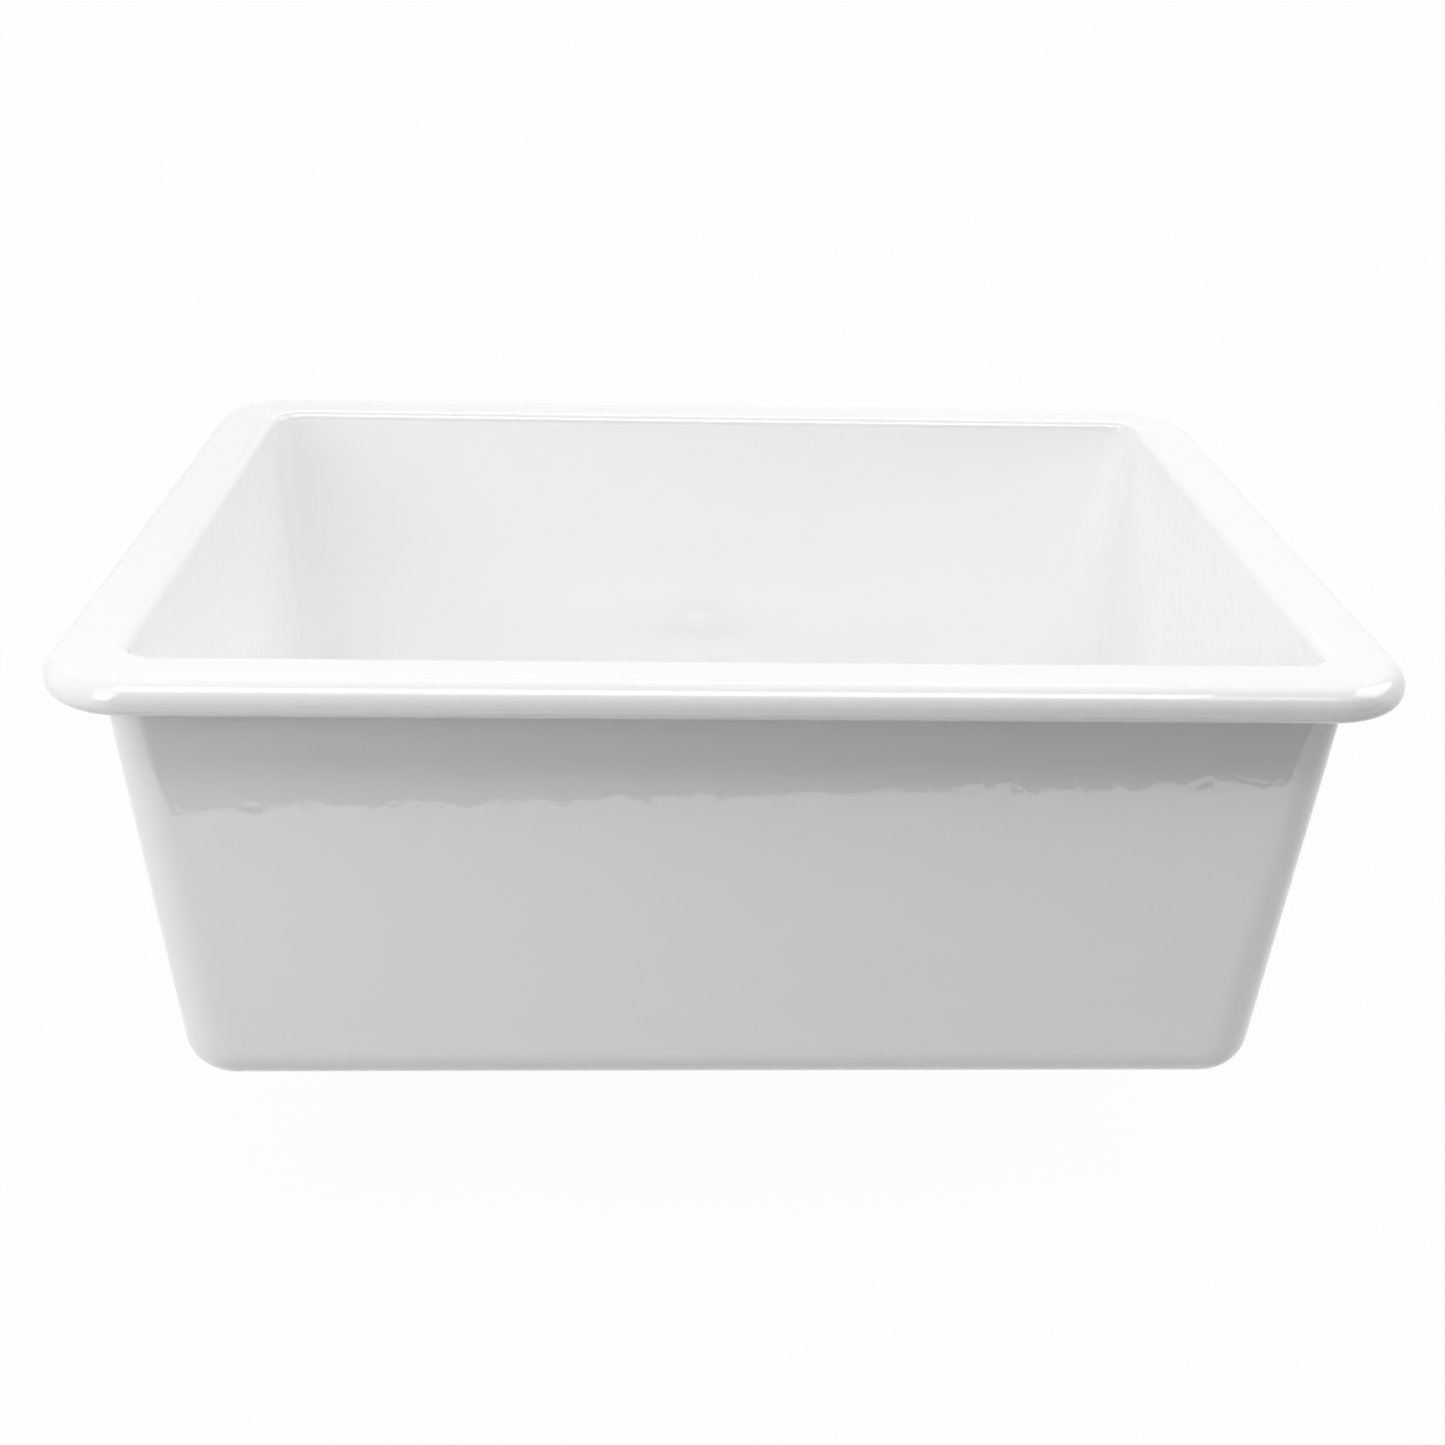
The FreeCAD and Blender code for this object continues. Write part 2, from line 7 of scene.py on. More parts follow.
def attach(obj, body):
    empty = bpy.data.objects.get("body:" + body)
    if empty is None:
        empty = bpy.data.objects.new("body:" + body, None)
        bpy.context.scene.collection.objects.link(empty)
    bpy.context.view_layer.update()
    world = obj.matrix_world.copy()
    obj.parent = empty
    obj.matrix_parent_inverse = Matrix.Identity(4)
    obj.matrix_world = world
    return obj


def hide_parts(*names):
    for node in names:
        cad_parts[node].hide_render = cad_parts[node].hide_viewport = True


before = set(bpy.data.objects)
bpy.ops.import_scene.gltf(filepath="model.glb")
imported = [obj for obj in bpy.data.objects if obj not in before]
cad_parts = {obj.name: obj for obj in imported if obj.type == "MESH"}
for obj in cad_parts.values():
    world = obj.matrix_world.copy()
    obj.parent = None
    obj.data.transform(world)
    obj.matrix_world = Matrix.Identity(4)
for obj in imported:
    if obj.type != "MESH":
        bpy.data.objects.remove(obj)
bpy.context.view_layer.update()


# Fireclay basin: one cast piece with a rolled rim, four leaning walls and a floor that falls to the drain.
# It is fired under a thick white glaze that wavers like orange peel, and its underside is left bare.
# It hangs in the worktop by its rim, and everything else is fixed to its drain hole.
def eased(steps):
    """Shares of a length without its ends, closest together near them: (1 - cos(pi * step / steps)) / 2."""
    return (1 - np.cos(np.pi * np.arange(1, steps) / steps)) / 2


def rounded_line(corners, radii, arc_steps, side_steps):
    """Closed line through corners, with an arc of its own radius in place of each one.

    A point of an arc is its start + radius * (sin(turn) * way in + (1 - cos(turn)) * way across), and eased
    steps lead from each arc to the next. The array holds many such lines side by side.
    """
    least_length = 1e-9
    way_in = corners - np.roll(corners, 1, axis=0)
    way_in = way_in / np.linalg.norm(way_in, axis=-1, keepdims=True)
    way_out = np.roll(way_in, -1, axis=0)
    cosine = np.clip((way_in * way_out).sum(-1, keepdims=True), -1, 1)
    across = way_out - cosine * way_in
    across = across / np.maximum(np.linalg.norm(across, axis=-1, keepdims=True), least_length)
    turn = np.arccos(cosine)
    radii = np.reshape(radii, (-1, 1, 1))
    starts = corners - radii * np.tan(turn / 2) * way_in
    rows = []
    for k, (arcs, sides) in enumerate(zip(arc_steps, side_steps)):
        angle = np.linspace(0, 1, arcs + 1)[:, None, None] * turn[k]
        arc = starts[k] + radii[k] * (np.sin(angle) * way_in[k] + (1 - np.cos(angle)) * across[k])
        next_start = starts[(k + 1) % len(starts)]
        rows += [arc, arc[-1] + eased(sides)[:, None, None] * (next_start - arc[-1])]
    return np.concatenate(rows)


def rounded_boxes(half_x, half_y, corner, level, corner_steps, wall_steps):
    """Lines round the basin at several levels: a corner's centre + its radius * (cos(angle), sin(angle)).

    The angle grows by a quarter turn round each corner. Along a wall it stands still, and the centre moves
    on to the next corner's by eased steps.
    """
    along = np.concatenate([np.zeros(corner_steps + 1), eased(wall_steps)])
    climb = np.concatenate([np.linspace(0, 1, corner_steps + 1), np.ones(wall_steps - 1)])
    angle = ((np.arange(4)[:, None] + climb) * np.pi / 2).ravel()
    corner_x = np.array([[1], [-1], [-1], [1]])
    corner_y = np.array([[1], [1], [-1], [-1]])
    side_x = (corner_x + (np.roll(corner_x, -1, axis=0) - corner_x) * along).ravel()
    side_y = (corner_y + (np.roll(corner_y, -1, axis=0) - corner_y) * along).ravel()
    x = side_x * (half_x - corner) + corner * np.cos(angle)
    y = side_y * (half_y - corner) + corner * np.sin(angle)
    return np.stack([x, y, level + 0 * angle], axis=-1)


def grid_cells(grid, first=0):
    """The four point numbers of each cell of a grid of points, counted row by row from the first."""
    index = first + np.arange(grid.shape[0] * grid.shape[1]).reshape(grid.shape[:2])
    around = [index[:-1, :-1], index[1:, :-1], index[1:, 1:], index[:-1, 1:]]
    return np.stack(around, axis=-1).reshape(-1, 4)


def closed(points):
    """A grid with its first row and column repeated at its end, so that it runs on into itself both ways."""
    return np.pad(points, ((0, 1), (0, 1), (0, 0)), mode="wrap")


def put_in_scene(name, data):
    """A new object that shows this data."""
    thing = bpy.data.objects.new(name, data)
    bpy.context.scene.collection.objects.link(thing)
    return thing


def surface(name, grids, material):
    """Mesh over open grids of points that meet edge to edge, merged there, smooth and facing outward."""
    same_spot, least_length = 2e-7, 1e-8
    spots, cells, count = [], [], 0
    for grid in grids:
        spots.append(grid.reshape(-1, 3))
        cells.append(grid_cells(grid, count))
        count += len(spots[-1])
    mesh = bpy.data.meshes.new(name)
    mesh.from_pydata(np.concatenate(spots), [], np.concatenate(cells).tolist())
    shape = bmesh.new()
    shape.from_mesh(mesh)
    bmesh.ops.remove_doubles(shape, verts=shape.verts, dist=same_spot)
    bmesh.ops.dissolve_degenerate(shape, edges=shape.edges, dist=least_length)
    loose = [edge for edge in shape.edges if not edge.link_faces]
    bmesh.ops.delete(shape, geom=loose, context="EDGES")
    bmesh.ops.recalc_face_normals(shape, faces=shape.faces)
    shape.to_mesh(mesh)
    shape.free()
    mesh.shade_smooth()
    mesh.materials.append(material)
    return put_in_scene(name, mesh)


def fit(piece, body, node):
    """The piece moves with its body and stands for its solid, which is hidden."""
    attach(piece, body)
    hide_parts(node)


def new_material(name):
    """A material with its node tree and its main shader."""
    material = bpy.data.materials.new(name)
    material.use_nodes = True
    return material, material.node_tree, material.node_tree.nodes["Principled BSDF"]


def add_node(tree, kind, wires=(), **settings):
    """A node with its settings, and its inputs either wired or set."""
    node = tree.nodes.new(kind)
    for key, value in settings.items():
        setattr(node, key, value)
    for key, value in dict(wires).items():
        if isinstance(value, bpy.types.NodeSocket):
            tree.links.new(value, node.inputs[key])
        else:
            node.inputs[key].default_value = value
    return node


def noise(tree, place, scale, detail, roughness=0.5):
    """Cloudy numbers between about 0 and 1, from layers of noise that get finer and fainter."""
    wires = {"Vector": place, "Scale": scale, "Detail": detail, "Roughness": roughness}
    return add_node(tree, "ShaderNodeTexNoise", wires).outputs["Fac"]


def blend(tree, share, first, second):
    """Colour that goes from the first to the second as the share goes from 0 to 1."""
    wires = {"Factor": share, "A": first, "B": second}
    return add_node(tree, "ShaderNodeMix", wires, data_type="RGBA").outputs["Result"]


def ramp(tree, value, start, end, low=0.0, high=1.0, kind="LINEAR"):
    """Number that goes from low to high as the value goes from start to end, and stays there beyond them."""
    wires = {"Value": value, "From Min": start, "From Max": end, "To Min": low, "To Max": high}
    return add_node(tree, "ShaderNodeMapRange", wires, interpolation_type=kind).outputs["Result"]


def reckon(tree, operation, *values):
    """Result of one sum on sockets and plain numbers."""
    return add_node(tree, "ShaderNodeMath", enumerate(values), operation=operation).outputs[0]


def dress(tree, shader, colour, roughness, height, depth):
    """Colour, roughness and relief wired to the shader. The depth, in metres, is that of a height of 1."""
    bump = add_node(tree, "ShaderNodeBump", {"Height": height, "Strength": 1.0, "Distance": depth})
    tree.links.new(colour, shader.inputs["Base Color"])
    tree.links.new(roughness, shader.inputs["Roughness"])
    tree.links.new(bump.outputs["Normal"], shader.inputs["Normal"])


thin_glaze, thick_glaze = (0.953, 0.954, 0.951, 1), (0.965, 0.964, 0.961, 1)
dark_clay, pale_clay = (0.60, 0.50, 0.37, 1), (0.76, 0.68, 0.56, 1)
glaze_end, bare_from, ragged_height = -0.2347, -0.2350, 0.0012
glaze_roughness, clay_roughness = 0.02, 0.85
peel_depth, grit_height = 0.00008, 2.0
glaze, tree, shader = new_material("glazed_fireclay")
place = add_node(tree, "ShaderNodeTexCoord").outputs["Object"]
white = blend(tree, noise(tree, place, scale=9.0, detail=2.0), thin_glaze, thick_glaze)
ragged = noise(tree, place, scale=70.0, detail=4.0)
height = add_node(tree, "ShaderNodeSeparateXYZ", {0: place}).outputs["Z"]
brink = reckon(tree, "MULTIPLY_ADD", ragged, ragged_height, height)
bare = ramp(tree, brink, start=glaze_end, end=bare_from, kind="SMOOTHSTEP")
grog = noise(tree, place, scale=420.0, detail=5.0, roughness=0.65)
tone = blend(tree, bare, white, blend(tree, grog, dark_clay, pale_clay))
gloss = ramp(tree, bare, start=0.0, end=1.0, low=glaze_roughness, high=clay_roughness)
peel = noise(tree, place, scale=95.0, detail=1.5)
grit = reckon(tree, "MULTIPLY", grog, bare)
relief = reckon(tree, "MULTIPLY_ADD", grit, grit_height, peel)
dress(tree, shader, tone, gloss, relief, peel_depth)
shader.inputs["IOR"].default_value = 1.75

# Each ring of the basin, in metres: half its length and depth, its corner radius, its height, the radius
# that rounds it off, and the steps of that rounding and of the way to the next ring. They run from the drain
# hole over the rim and back under the base. Inset rings keep the roundings next to them square to the walls.
drain, recess = 0.0450, 0.0585
recess_level, collar_level, rim_level, worktop_level, base_level = -0.2200, -0.2160, 0.0180, 0.0, -0.2360
rings = np.array([
    (drain, drain, drain, recess_level, 0.0008, 4, 4),  # drain hole, top
    (recess, recess, recess, recess_level, 0.0012, 4, 3),  # flange recess, foot
    (recess, recess, recess, collar_level, 0.0012, 5, 3),  # flange recess, brim
    (0.0645, 0.0645, 0.0625, collar_level, 0.0005, 2, 20),  # level collar round it
    (0.2544, 0.1821, 0.0220, -0.2119, 0.0010, 2, 4),  # bowl's floor, inset
    (0.2844, 0.2121, 0.0520, -0.2110, 0.0260, 12, 30),  # foot of the bowl's walls
    (0.3039, 0.2150, 0.0180, rim_level, 0.0060, 10, 8),  # bowl's mouth
    (0.3429, 0.2540, 0.0480, rim_level, 0.0105, 14, 3),  # rim, upper edge
    (0.3429, 0.2540, 0.0480, worktop_level, 0.0070, 10, 5),  # rim, lower edge
    (0.3167, 0.2278, 0.0240, worktop_level, 0.0020, 5, 30),  # top of the outer walls
    (0.2969, 0.2246, 0.0320, base_level, 0.0220, 12, 3),  # foot of the outer walls
    (0.2709, 0.1986, 0.0060, base_level, 0.0010, 2, 12),  # base, inset
    (drain, drain, drain, base_level, 0.0010, 4, 6),  # drain hole, bottom
])
half_x, half_y, corner, level = rings[:, :4].T[:, :, None]
rounding, arc_steps, side_steps = rings[:, 4:].T
lines = rounded_boxes(half_x, half_y, corner, level, corner_steps=20, wall_steps=44)
skin = rounded_line(lines, rounding, arc_steps.astype(int), side_steps.astype(int))
basin = surface("fireclay_basin_glazed", [closed(skin)], glaze)
fit(basin, "basin", "fireclay_basin")


# Sealing ring: grey sealant pressed between the drain's recess and the strainer's flange.
# It is laid as a soft bead and bulges a little where the flange squeezes it.
def grouped(name, outputs):
    """Empty node group that takes a place and a fineness and gives numbers."""
    tree = bpy.data.node_groups.new(name, "ShaderNodeTree")
    tree.interface.new_socket("Place", in_out="INPUT", socket_type="NodeSocketVector")
    tree.interface.new_socket("Fineness", in_out="INPUT", socket_type="NodeSocketFloat")
    for label in outputs:
        tree.interface.new_socket(label, in_out="OUTPUT", socket_type="NodeSocketFloat")
    return tree, tree.nodes.new("NodeGroupInput").outputs, tree.nodes.new("NodeGroupOutput").inputs


def placed(tree, group, fineness):
    """What the group gives on this material's piece, at its own fineness."""
    place = add_node(tree, "ShaderNodeTexCoord").outputs["Object"]
    wires = {"Place": place, "Fineness": fineness}
    return add_node(tree, "ShaderNodeGroup", wires, node_tree=group).outputs


grain_group, given, wanted = grouped("fine_grain", ["Grain", "Cloud"])
grain = noise(grain_group, given["Place"], given["Fineness"], detail=4.0, roughness=0.6)
cloud = noise(grain_group, given["Place"], scale=60.0, detail=2.0)
grain_group.links.new(grain, wanted["Grain"])
grain_group.links.new(cloud, wanted["Cloud"])


def grainy(name, dark, light, roughness, fineness, depth):
    """Matt finish whose colour runs between two tones with the cloud, and whose relief follows the grain."""
    drift = 0.08
    material, tree, shader = new_material(name)
    pattern = placed(tree, grain_group, fineness)
    tone = blend(tree, pattern["Cloud"], dark, light)
    sheen = ramp(tree, pattern["Grain"], start=0.0, end=1.0, low=roughness - drift, high=roughness + drift)
    dress(tree, shader, tone, sheen, pattern["Grain"], depth)
    return material


def turned(name, corners, material, columns=120, threads=()):
    """Profile turned round the drain's axis: (distance * cos(turn), distance * sin(turn), height).

    A corner of the profile is its distance from the axis, its height, its rounding and the steps to the next
    corner. A thread is its radius, its lower and upper end, its pitch and its depth. It takes
    depth * (1 + cos(2 pi * height / pitch - turn)) / 2 off that radius, and fades out over the last pitch at
    each end. All lengths are in millimetres.
    """
    arc_steps, same_radius = 5, 1e-5
    table = np.array(corners, float)
    outline, rounding, side_steps = table[:, None, :2] / 1000, table[:, 2] / 1000, table[:, 3].astype(int)
    line = rounded_line(outline, rounding, np.full(len(table), arc_steps), side_steps)
    turn = np.arange(columns) * 2 * np.pi / columns
    distance, height = line[:, :, 0] + 0 * turn, line[:, :, 1] + 0 * turn
    for radius, low, high, pitch, depth in np.array(threads).reshape(-1, 5) / 1000:
        ease = np.clip(np.minimum(height - low, high - height) / pitch, 0, 1)
        ridge = (1 + np.cos(2 * np.pi * height / pitch - turn)) / 2
        distance = distance - np.where(abs(distance - radius) < same_radius, depth * ease * ridge, 0)
    points = np.stack([distance * np.cos(turn), distance * np.sin(turn), height], axis=-1)
    return surface(name, [closed(points)], material)


def flat_ring(name, bore, reach, low, high, inner_edge, outer_edge, material, columns=120, steps=8):
    """Turned ring of rectangular section between two distances and two heights, with its edges rounded."""
    return turned(name, [
        (bore, low, inner_edge, steps),
        (reach, low, outer_edge, steps),
        (reach, high, outer_edge, steps),
        (bore, high, inner_edge, steps),
    ], material, columns)


sealant = grainy("sealant_grey", dark=(0.56, 0.54, 0.49, 1), light=(0.66, 0.64, 0.60, 1), roughness=0.55,
                 fineness=900.0, depth=0.00004)
bead = flat_ring("flange_seal_bead", bore=45.0, reach=56.4, low=-220.0, high=-218.0, inner_edge=0.5,
                 outer_edge=0.9, material=sealant)
fit(bead, "basin", "flange_seal")


# Strainer body: a cup pressed from stainless sheet, with a broad flange that lies in the drain's recess.
# Its outside is threaded for the ring nut, and a ledge inside carries the basket.
# Its neck is threaded for the nut that holds the tailpiece.
marks_group, given, wanted = grouped("turned_marks", ["Mark", "Cloud"])
apart = add_node(marks_group, "ShaderNodeSeparateXYZ", {0: given["Place"]}).outputs
plan = add_node(marks_group, "ShaderNodeCombineXYZ", {"X": apart["X"], "Y": apart["Y"]}).outputs[0]
distance = add_node(marks_group, "ShaderNodeVectorMath", {0: plan}, operation="LENGTH").outputs["Value"]
ring = add_node(marks_group, "ShaderNodeCombineXYZ", {"X": distance, "Y": apart["Z"]}).outputs[0]
mark = noise(marks_group, ring, given["Fineness"], detail=3.0, roughness=0.7)
cloud = noise(marks_group, given["Place"], scale=45.0, detail=3.0)
marks_group.links.new(mark, wanted["Mark"])
marks_group.links.new(cloud, wanted["Cloud"])


def metal(name, dark, light, smooth, rough, fineness, depth):
    """Bare or plated metal: tone and gloss drift with the cloud, and the tool's marks run round the axis."""
    material, tree, shader = new_material(name)
    pattern = placed(tree, marks_group, fineness)
    tone = blend(tree, pattern["Cloud"], dark, light)
    worn = reckon(tree, "MULTIPLY", pattern["Mark"], pattern["Cloud"])
    gloss = ramp(tree, worn, start=0.0, end=0.5, low=smooth, high=rough)
    dress(tree, shader, tone, gloss, pattern["Mark"], depth)
    shader.inputs["Metallic"].default_value = 1.0
    return material


brushed = metal("brushed_steel", dark=(0.60, 0.60, 0.59, 1), light=(0.68, 0.68, 0.67, 1), smooth=0.18,
                rough=0.42, fineness=2600.0, depth=0.00002)
neck_bore, neck, cup_bore, cup_radius, ledge_bore, flange = 19.05, 23.6, 39.0, 42.9, 41.2, 56.0
neck_end, cup_foot, cup_floor = -290.4, -267.4, -264.4
ledge, flange_under, flange_top = -225.4, -218.0, -216.4
strainer = turned("strainer_cup", [
    (neck_bore, neck_end, 0.4, 4),
    (neck, neck_end, 0.6, 80),
    (neck, cup_foot, 1.2, 10),
    (cup_radius, cup_foot, 3.0, 170),
    (cup_radius, flange_under, 0.5, 8),
    (flange, flange_under, 0.3, 2),
    (flange, flange_top, 1.1, 10),
    (44.2, flange_top, 2.4, 3),  # sloping mouth
    (ledge_bore, -219.4, 2.4, 5),
    (ledge_bore, ledge, 0.4, 3),
    (cup_bore, ledge, 0.5, 14),
    (cup_bore, cup_floor, 3.0, 12),
    (neck_bore, cup_floor, 0.8, 10),
], brushed, columns=144, threads=[(cup_radius, -263.0, -221.0, 2.4, 0.7), (neck, -290.2, -270.0, 2.2, 0.7)])
fit(strainer, "basin", "strainer_body")


# Rubber gasket and fibre washer: flat rings pushed up against the basin's underside.
# The rubber seals, and the fibre lets the nut turn without dragging the rubber round.
black_rubber = grainy("black_rubber", dark=(0.018, 0.018, 0.019, 1), light=(0.034, 0.034, 0.035, 1),
                      roughness=0.62, fineness=1400.0, depth=0.00003)
gasket = flat_ring("base_gasket_ring", bore=43.2, reach=52.9, low=-239.0, high=-236.0, inner_edge=0.5,
                   outer_edge=1.1, material=black_rubber)
fit(gasket, "basin", "base_gasket")
fibre = grainy("pressed_fibre", dark=(0.36, 0.23, 0.13, 1), light=(0.50, 0.34, 0.21, 1), roughness=0.85,
               fineness=1100.0, depth=0.00006)
washer = flat_ring("friction_washer_ring", bore=43.2, reach=51.9, low=-240.0, high=-239.0, inner_edge=0.15,
                   outer_edge=0.3, material=fibre)
fit(washer, "basin", "friction_washer")


# Ring nut: cast brass with six lugs for the spanner, screwed up the strainer's thread to clamp the basin.
# The lugs have a little draft from the mould and softly rounded edges.
def cut_block(name, turn, reach, low, high, shoulder, slope, bore, edge, material):
    """Block with any outline about the axis: at each turn its section runs up the outside and down the bore.

    Past the shoulder's distance its ends come in by slope * (reach - shoulder), as a nut's corners do where
    they are turned off. The bore is a list of (distance, height) from the top down, all in millimetres.
    """
    least_cut, crisp = 0.05, 0.02
    cut = slope * np.maximum(reach - shoulder, least_cut)
    near = np.minimum(reach - least_cut, shoulder)
    section = [(near, low), (reach, low + cut), (reach, high - cut), (near, high)] + bore
    corners = np.stack([np.stack(np.broadcast_arrays(out * np.cos(turn), out * np.sin(turn), up), axis=-1)
                        for out, up in section]) / 1000
    radii = np.array([crisp, edge, edge, crisp] + [edge / 2] * len(bore)) / 1000
    arc_steps = [3, 4, 4, 3] + [4] * len(bore)
    side_steps = [3, 10, 3, 6] + [8] * len(bore)
    return surface(name, [closed(rounded_line(corners, radii, arc_steps, side_steps))], material)


brass = metal("cast_brass", dark=(0.50, 0.36, 0.15, 1), light=(0.66, 0.51, 0.25, 1), smooth=0.28, rough=0.55,
              fineness=700.0, depth=0.00008)
lugs, lug_half, lug_flank = 6, np.radians(7.3), np.radians(1.2)
ring_radius, lug_face, face_draft = 49.5, 54.0, 0.3
offset = np.radians(np.concatenate([
    np.linspace(-30, -8, 8), np.linspace(-7.6, -5.8, 9), np.linspace(-5, 5, 7), np.linspace(5.8, 7.6, 9),
    np.linspace(8, 30, 8)[:-1]]))
lug_turn = (np.arange(lugs)[:, None] * np.pi / 3 + offset).ravel()
rise = np.clip((lug_half - abs(offset)) / lug_flank, 0, 1)
lug_height = lug_face / np.cos(offset) - (ring_radius + face_draft)
lug_reach = np.tile(ring_radius + lug_height * rise * rise * (3 - 2 * rise), lugs)
ring_nut = cut_block("lock_nut_ring", lug_turn, lug_reach, low=-249.0, high=-240.0, shoulder=48.0,
                     slope=0.12, bore=[(43.05, -240.0), (43.05, -249.0)], edge=0.7, material=brass)
fit(ring_nut, "basin", "lock_nut")


# Outlet: a soft plastic washer, the flanged tailpiece below it and the hexagon nut that pulls both up.
# Tube and nut are brass with a chrome plate, and the tube's plain end goes into the trap.
def hexagon_nut(name, half_flats, half_corners, low, high, shoulder, slope, bore, edge, material):
    """Block whose reach is half the width over its flats / cos(turn from the nearest flat's middle).

    The reach ends at half the width over the corners, where the nut is turned off.
    """
    turn = np.arange(240) * np.pi / 120
    from_flat = turn % (np.pi / 3) - np.pi / 6
    reach = np.minimum(half_flats / np.cos(from_flat), half_corners)
    return cut_block(name, turn, reach, low, high, shoulder, slope, bore, edge, material)


white_plastic = grainy("soft_white_plastic", dark=(0.80, 0.80, 0.76, 1), light=(0.86, 0.86, 0.83, 1),
                       roughness=0.42, fineness=800.0, depth=0.00002)
tail_washer = flat_ring("outlet_washer_ring", bore=19.05, reach=22.7, low=-292.9, high=-290.4,
                        inner_edge=0.4, outer_edge=0.7, material=white_plastic)
fit(tail_washer, "basin", "outlet_washer")
chrome = metal("chrome_plate", dark=(0.72, 0.73, 0.74, 1), light=(0.80, 0.80, 0.81, 1), smooth=0.04,
               rough=0.14, fineness=900.0, depth=0.000004)
tube_bore, tube_radius, tube_flange = 17.75, 19.05, 22.7
tube_end, tube_flange_under, tube_top = -368.9, -294.4, -292.9
tube = turned("tailpiece_tube", [
    (tube_bore, tube_end, 0.5, 2),
    (tube_radius, tube_end, 0.6, 30),
    (tube_radius, -298.4, 4.0, 6),  # start of the flare
    (19.35, tube_flange_under, 0.4, 4),
    (tube_flange, tube_flange_under, 0.4, 2),
    (tube_flange, tube_top, 0.5, 6),
    (tube_bore, tube_top, 1.2, 30),
], chrome)
fit(tube, "basin", "tailpiece")
coupling = hexagon_nut("coupling_nut_hexagon", half_flats=26.5, half_corners=30.2, low=-297.4, high=-277.4,
                       shoulder=26.0, slope=0.45, edge=0.5, material=chrome,
                       bore=[(23.75, -277.4), (23.75, -294.4), (19.55, -294.4), (19.55, -297.4)])
fit(coupling, "basin", "coupling_nut")


# Basket: a cup pressed from thin stainless sheet, punched with holes in its floor and slots in its wall.
# Its lip hangs on the strainer's ledge, so it lifts out by the knob.
# The sheet's middle line is given by its bends in millimetres, and runs on past both of the sheet's ends.
half_sheet, bend_length, round_steps = 0.5, 4.0, 160
bends = np.array([(2.6, -247.4), (30.55, -247.4), (35.5, -224.9), (44.8, -224.9)])
run = np.cumsum(np.hypot(*np.diff(bends, axis=0, prepend=bends[:1]).T)) - bend_length
lip_end = run[-1] - bend_length
all_round = np.arange(round_steps + 1) * np.pi / (round_steps / 2)


def sheet_line(along):
    """Distance from the axis and height at a length along the sheet: a running mean over a bend's length."""
    window = along[..., None] + np.linspace(-bend_length / 2, bend_length / 2, 21)
    return np.interp(window, run, bends[:, 0]).mean(-1), np.interp(window, run, bends[:, 1]).mean(-1)


def sheet_point(turn, along, side):
    """Point of the sheet: its line at that length + side * half the thickness across it, and then turned."""
    short_way = 0.05
    distance, height = sheet_line(along)
    next_distance, next_height = sheet_line(along + short_way)
    tilt = np.arctan2(next_height - height, next_distance - distance)
    distance = distance - half_sheet * side * np.sin(tilt)
    height = height + half_sheet * side * np.cos(tilt)
    return np.stack([distance * np.cos(turn), distance * np.sin(turn), height], axis=-1) / 1000


def plain_band(low, high, rows):
    """Both faces of the sheet between two lengths, all the way round."""
    turn, along = np.meshgrid(all_round, np.linspace(low, high, rows))
    return [sheet_point(turn, along, side) for side in (1.0, -1.0)]


def rolled_edge(end, way):
    """Half round that closes the sheet at one of its ends.

    Its side is cos(roll), and its length along the sheet is end + way * half the thickness * sin(roll).
    """
    turn, roll = np.meshgrid(all_round, np.linspace(0, np.pi, 7))
    return [sheet_point(turn, end + half_sheet * way * np.sin(roll), np.cos(roll))]


def punched_band(low, high, count, half_wide, half_high, power):
    """Cells round the sheet with a hole in each: rings between a cell's edge and its hole, through and back.

    The hole's edge is (wide * cos(a) ** power, high * sin(a) ** power), and keeps the signs of cosine and
    sine. A ring is its share of the way to that edge, the width that is broken off there and its side of the
    sheet.
    """
    wide_steps, high_steps = round_steps // count, 6
    up = np.linspace(0, 1, high_steps + 1)
    edge_turn = np.concatenate([np.linspace(-1, 1, wide_steps + 1), np.ones(high_steps - 1),
                                np.linspace(1, -1, wide_steps + 1), -np.ones(high_steps)]) * np.pi / count
    edge_along = low + (high - low) * np.concatenate([np.zeros(wide_steps + 1), up[1:-1],
                                                      np.ones(wide_steps + 1), up[::-1][1:]])
    quarters = np.concatenate([np.linspace(0, 1, wide_steps + 1), 1 + up[1:-1],
                               np.linspace(2, 3, wide_steps + 1), 3 + up[1:]])
    a = np.radians(225 + 90 * quarters)
    across = np.sign(np.cos(a)) * abs(np.cos(a)) ** power
    upward = np.sign(np.sin(a)) * abs(np.sin(a)) ** power
    broken, straight = 0.2, 0.6
    face = [(0, broken, 1), (0.5, broken, 1), (0.85, broken, 1), (1, broken, 1), (1, 0, straight)]
    rows = []
    for share, spare, side in face + [(share, spare, -side) for share, spare, side in face[::-1]]:
        hole_along = (low + high) / 2 + (half_high + spare) * upward
        hole_turn = (half_wide + spare) * across / sheet_line(hole_along)[0]
        turn = edge_turn + share * (hole_turn - edge_turn)
        rows.append((turn, edge_along + share * (hole_along - edge_along), side + 0 * a))
    turn, along, side = np.array(rows).transpose(1, 0, 2)
    return [sheet_point(turn + k * 2 * np.pi / count, along, side) for k in range(count)]


